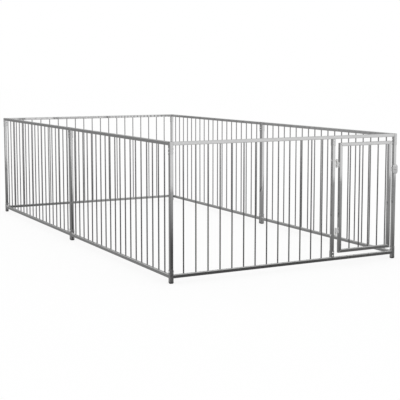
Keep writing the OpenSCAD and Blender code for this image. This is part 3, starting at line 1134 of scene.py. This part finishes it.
    def flag(self, tree: bpy.types.NodeTree, rise: bpy.types.NodeSocket,
             turn: bpy.types.NodeSocket) -> bpy.types.NodeSocket:
        """Masks the directions that the grey flag covers.

        Args:
            tree: The world's node tree.
            rise: Angle above the horizon.
            turn: Angle from the run's long axis, to the right.

        Returns:
            1 on the flag and 0 beside it.
        """
        mask = 1.0
        for value, outside, inside in ((turn, self.flag_left - self.flag_soft, self.flag_left),
                                       (turn, self.flag_right + self.flag_soft, self.flag_right),
                                       (rise, self.flag_top + self.flag_soft, self.flag_top),
                                       (rise, self.beside_near, self.beside_far)):
            edge = add_node(tree, "ShaderNodeMapRange", {"Value": value, "From Min": math.radians(outside),
                                                         "From Max": math.radians(inside)})
            mask = add_node(tree, "ShaderNodeMath", {0: edge.outputs["Result"], 1: mask},
                            operation="MULTIPLY").outputs[0]
        return mask

    def grey(self, tree: bpy.types.NodeTree, rise: bpy.types.NodeSocket,
             turn: bpy.types.NodeSocket) -> bpy.types.NodeSocket:
        """Grades the flag's grey, which pales towards the left, except close to the floor.

        Args:
            tree: The world's node tree.
            rise: Angle above the horizon.
            turn: Angle from the run's long axis, to the right.

        Returns:
            The flag's tone in that direction.
        """
        pale = add_node(tree, "ShaderNodeMapRange",
                        {"Value": rise, "From Min": math.radians(self.pale_low),
                         "From Max": math.radians(self.pale_high), "To Min": self.flag_tone,
                         "To Max": self.flag_pale})
        left = add_node(tree, "ShaderNodeMapRange",
                        {"Value": turn, "From Min": math.radians(self.pale_right),
                         "From Max": math.radians(self.pale_left), "To Min": self.flag_tone,
                         "To Max": pale.outputs["Result"]})
        return left.outputs["Result"]

    def world(self) -> None:
        """Lights the studio evenly, and sets what bare metal mirrors."""
        world = bpy.data.worlds.new("studio_world")
        bpy.context.scene.world = world
        world.use_nodes = True
        world.cycles.sampling_method = "NONE"
        tree = world.node_tree
        tree.nodes.clear()
        look = add_node(tree, "ShaderNodeTexCoord")
        way = add_node(tree, "ShaderNodeSeparateXYZ", {0: look.outputs["Generated"]})
        rise = add_node(tree, "ShaderNodeMath", {0: way.outputs["Z"]}, operation="ARCSINE").outputs[0]
        turn = add_node(tree, "ShaderNodeMath", {0: way.outputs["X"], 1: way.outputs["Y"]},
                        operation="ARCTAN2").outputs[0]
        seen = add_node(tree, "ShaderNodeMix",
                        {"Factor": self.flag(tree, rise, turn), "A": self.front(tree, way, rise),
                         "B": self.grey(tree, rise, turn)}, data_type="FLOAT")
        path = add_node(tree, "ShaderNodeLightPath")
        tone = add_node(tree, "ShaderNodeMix", {"Factor": path.outputs["Is Glossy Ray"], "A": 1.0,
                                                "B": seen.outputs["Result"]}, data_type="FLOAT")
        sky = add_node(tree, "ShaderNodeBackground", {"Color": WHITE, "Strength": tone.outputs["Result"]})
        add_node(tree, "ShaderNodeOutputWorld", {"Surface": sky.outputs["Background"]})

    def build(self) -> None:
        """Sets up the whole studio."""
        self.floor()
        self.world()
        bpy.context.scene.view_settings.view_transform = "Standard"
        log.info("studio: floor and world")


@dataclass
class ViewCamera:
    """Camera at the photograph's viewing angle, with its angles in degrees and its place in metres."""

    frame_px: float = 400.0
    focal_px: float = 946.25
    sensor_mm: float = 36.0
    yaw: float = 28.015
    pitch: float = 6.069
    shift_down: float = 0.065
    place: Vector = Vector((-3.8847, -7.8669, 1.4725))

    def build(self) -> None:
        """Makes the scene's camera."""
        data = bpy.data.cameras.new("view_camera")
        data.sensor_width = self.sensor_mm
        data.lens = self.focal_px / self.frame_px * self.sensor_mm
        data.shift_y = -self.shift_down
        camera = bpy.data.objects.new("view_camera", data)
        yaw, pitch = math.radians(self.yaw), math.radians(self.pitch)
        ahead = Vector((math.sin(yaw) * math.cos(pitch), math.cos(yaw) * math.cos(pitch),
                        -math.sin(pitch)))
        camera.location = self.place
        camera.rotation_mode = "QUATERNION"
        camera.rotation_quaternion = ahead.to_track_quat("-Z", "Y")
        bpy.context.scene.collection.objects.link(camera)
        bpy.context.scene.camera = camera
        log.info("camera: %.1f mm lens", data.lens)


def make_finishes() -> FinishSet:
    """Makes all materials of the run.

    Returns:
        The set of materials.
    """
    by_slot = {
        # Rails and posts are galvanised sheet rolled into tube, which is silvery and nearly a mirror.
        Slot.TUBE: GalvanisedSteel("galvanised_tube_steel"),
        # The bars get a darker grey than the rails: painted shade, standing in for the darker surround that
        # the thin round bars mirror.
        Slot.BAR: GalvanisedSteel("galvanised_bar_steel", "#A6A6A6", "#9C9C9C", roughness=0.08,
                                  roughness_spread=0.03),
        # The connectors are galvanised after welding, which leaves them slightly rougher.
        Slot.CONNECTOR: GalvanisedSteel("galvanised_connector_steel", "#CACACA", "#C0C0C0", roughness=0.1,
                                        roughness_spread=0.04),
        # Zinc plate is brighter than galvanising, and tumbling in the bath leaves it satin in small patches.
        Slot.HARDWARE: GalvanisedSteel("zinc_plated_steel", "#F2F2F2", "#E6E6E6", roughness=0.48,
                                       roughness_spread=0.06, spangle_mm=3.0, cloud_mm=25.0),
        # The latch plate and its bolt have a plain matt zinc, which mirrors only soft light and dark.
        Slot.LATCH: GalvanisedSteel("latch_zinc_steel", "#DCDCDC", "#D0D0D0", roughness=0.5,
                                    roughness_spread=0.06, spangle_mm=6.0, cloud_mm=40.0),
        # The feet are moulded polyethylene, near black and dull.
        Slot.PLASTIC: Plastic("black_polyethylene", "#2B2B2C", roughness=0.5, grain_mm=2.0),
        # The bushes are turned from natural nylon, which is milky white with a satin skin.
        Slot.NYLON: Plastic("natural_nylon", "#E8E6E0", roughness=0.4, grain_mm=0.8),
    }
    # Welds are brushed with cold zinc paint, which is darker and duller than the hot zinc around them.
    weld = GalvanisedSteel("zinc_painted_weld", "#BCBCBC", "#9A9A9A", roughness=0.36, roughness_spread=0.1,
                           spangle_mm=3.0, cloud_mm=20.0)
    return FinishSet({slot: finish.material() for slot, finish in by_slot.items()}, weld.material())


def main() -> None:
    """Builds the studio, the camera and the dressed run."""
    logging.basicConfig(level=logging.INFO, format="%(message)s")
    Studio().build()
    ViewCamera().build()
    finishes = make_finishes()
    for group in (Panels, Corners, MiddlePosts, HingePost, Fasteners, Hinges, Door, Latch):
        part = group(finishes)
        part.dress()
        part.build()


if __name__ == "__main__":
    main()
